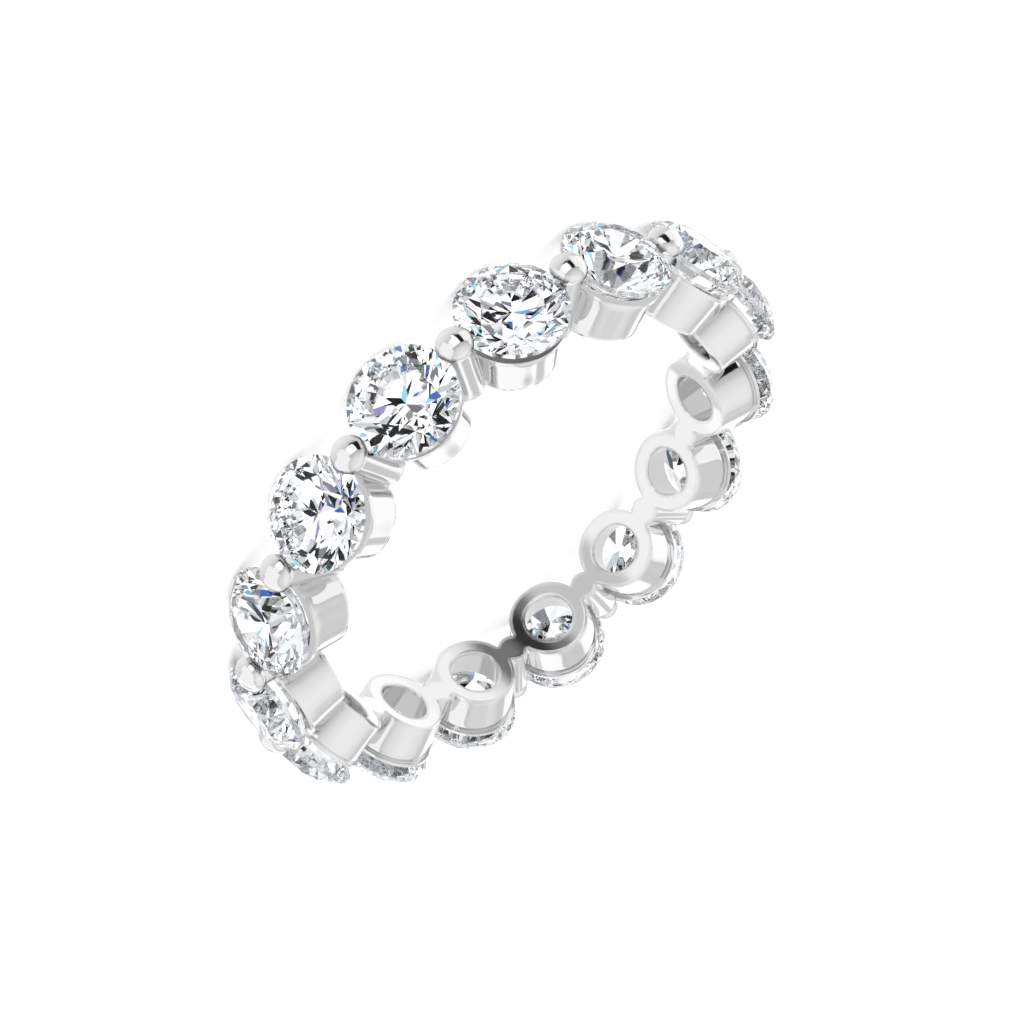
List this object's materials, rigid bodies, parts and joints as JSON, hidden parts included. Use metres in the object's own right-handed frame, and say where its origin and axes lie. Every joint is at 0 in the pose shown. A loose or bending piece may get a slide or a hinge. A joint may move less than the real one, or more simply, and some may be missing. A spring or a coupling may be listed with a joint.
{
  "type": "eternity ring",
  "caption": "Finger ring set all round with equal round brilliants in tapered collets, with a shared dome-headed post between neighbouring stones.",
  "frame": {"origin": "on the finger hole's axis, at the lowest points of the stones' girdles, where the ring lies on its side", "axes": "+Z along the finger hole and up from the floor, -Y towards the first stone"},
  "size_m": [0.0232, 0.0231, 0.0037],
  "materials": {
    "white_gold": "polished white gold",
    "diamond": "polished, faceted, colourless"
  },
  "bodies": {
    "root": {"collet_band": "white_gold", "stone_01": "diamond", "stone_02": "diamond", "stone_03": "diamond", "stone_04": "diamond", "stone_05": "diamond", "stone_06": "diamond", "stone_07": "diamond", "stone_08": "diamond", "stone_09": "diamond", "stone_10": "diamond", "stone_11": "diamond", "stone_12": "diamond", "stone_13": "diamond", "stone_14": "diamond", "stone_15": "diamond"}
  },
  "joints": []
}
